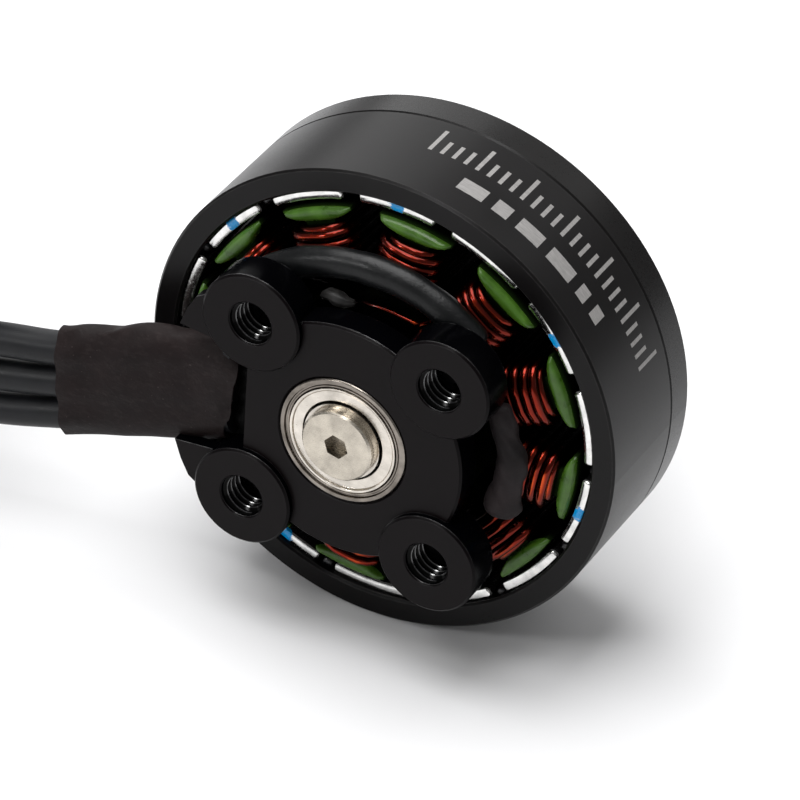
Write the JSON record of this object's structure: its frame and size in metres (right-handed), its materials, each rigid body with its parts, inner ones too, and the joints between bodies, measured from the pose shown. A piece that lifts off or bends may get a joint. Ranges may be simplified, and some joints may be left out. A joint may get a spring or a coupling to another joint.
{
  "type": "brushless outrunner motor",
  "caption": "Flat outrunner motor: spoked bell and magnet ring turning round a wound stator, threaded shaft above, tapped mounting bosses below, insulated leads out of one side.",
  "frame": {"origin": "centre of the mounting bolt circle, in the plane of the boss faces", "axes": "+Z along the motor's axis, from the mounting base towards the threaded end of the shaft; the leads leave towards -X"},
  "size_m": [0.0766, 0.0367, 0.0333],
  "materials": {
    "base_anodised": "black anodised, satin",
    "core_powder_coat": "green powder coat, satin",
    "copper_winding": "enamelled copper wire, glossy",
    "bearing_steel": "ground steel",
    "cage_steel": "pressed steel",
    "bell_anodised": "black anodised, satin",
    "ring_black": "black coated steel, satin",
    "magnet_plating": "nickel plated",
    "shaft_steel": "ground steel",
    "screw_steel": "bright steel",
    "inner_lead_sleeve": "black insulation, semi-gloss",
    "joint_shrink": "heat-shrink, dull",
    "lead_shrink": "heat-shrink, dull",
    "lead_silicone": "silicone insulation, semi-gloss",
    "tinned_copper": "tinned strands",
    "tie_fabric": "black hook-and-loop strap"
  },
  "bodies": {
    "stator": {"mount_base": "base_anodised", "stator_core": "core_powder_coat", "coil_01": "copper_winding", "coil_02": "copper_winding", "coil_03": "copper_winding", "coil_04": "copper_winding", "coil_05": "copper_winding", "coil_06": "copper_winding", "coil_07": "copper_winding", "coil_08": "copper_winding", "coil_09": "copper_winding", "coil_10": "copper_winding", "coil_11": "copper_winding", "coil_12": "copper_winding", "lower_bearing_outer_ring": "bearing_steel", "lower_bearing_shields": "bearing_steel", "upper_bearing_outer_ring": "bearing_steel", "upper_bearing_shields": "bearing_steel", "inner_phase_lead": "inner_lead_sleeve", "joint_sleeve": "joint_shrink", "lead_sleeve": "lead_shrink", "lead_a": "lead_silicone", "lead_b": "lead_silicone", "lead_c": "lead_silicone", "lead_coil": "lead_silicone", "lead_tips": "tinned_copper", "lead_tie": "tie_fabric"},
    "rotor": {"bell": "bell_anodised", "flux_ring": "ring_black", "magnet_01": "magnet_plating", "magnet_02": "magnet_plating", "magnet_03": "magnet_plating", "magnet_04": "magnet_plating", "magnet_05": "magnet_plating", "magnet_06": "magnet_plating", "magnet_07": "magnet_plating", "magnet_08": "magnet_plating", "magnet_09": "magnet_plating", "magnet_10": "magnet_plating", "magnet_11": "magnet_plating", "magnet_12": "magnet_plating", "magnet_13": "magnet_plating", "magnet_14": "magnet_plating", "shaft": "shaft_steel", "bell_spacer": "shaft_steel", "shaft_washer": "screw_steel", "shaft_screw": "screw_steel", "lower_bearing_inner_ring": "bearing_steel", "upper_bearing_inner_ring": "bearing_steel"},
    "lower_ball_set": {"lower_bearing_balls": "bearing_steel", "lower_bearing_cage": "cage_steel"},
    "upper_ball_set": {"upper_bearing_balls": "bearing_steel", "upper_bearing_cage": "cage_steel"}
  },
  "joints": [
    {"name": "rotor_spin", "type": "hinge", "parent": "stator", "child": "rotor", "pos_m": [0, 0, 0], "axis": [0, 0, 1], "continuous": true},
    {"name": "lower_ball_orbit", "type": "hinge", "parent": "stator", "child": "lower_ball_set", "pos_m": [0, 0, 0.00245], "axis": [0, 0, 1], "continuous": true},
    {"name": "upper_ball_orbit", "type": "hinge", "parent": "stator", "child": "upper_ball_set", "pos_m": [0, 0, 0.012], "axis": [0, 0, 1], "continuous": true}
  ],
  "couplings": [
    {"joint": "lower_ball_orbit", "follows": "rotor_spin", "ratio": 0.4061},
    {"joint": "upper_ball_orbit", "follows": "rotor_spin", "ratio": 0.4061}
  ]
}
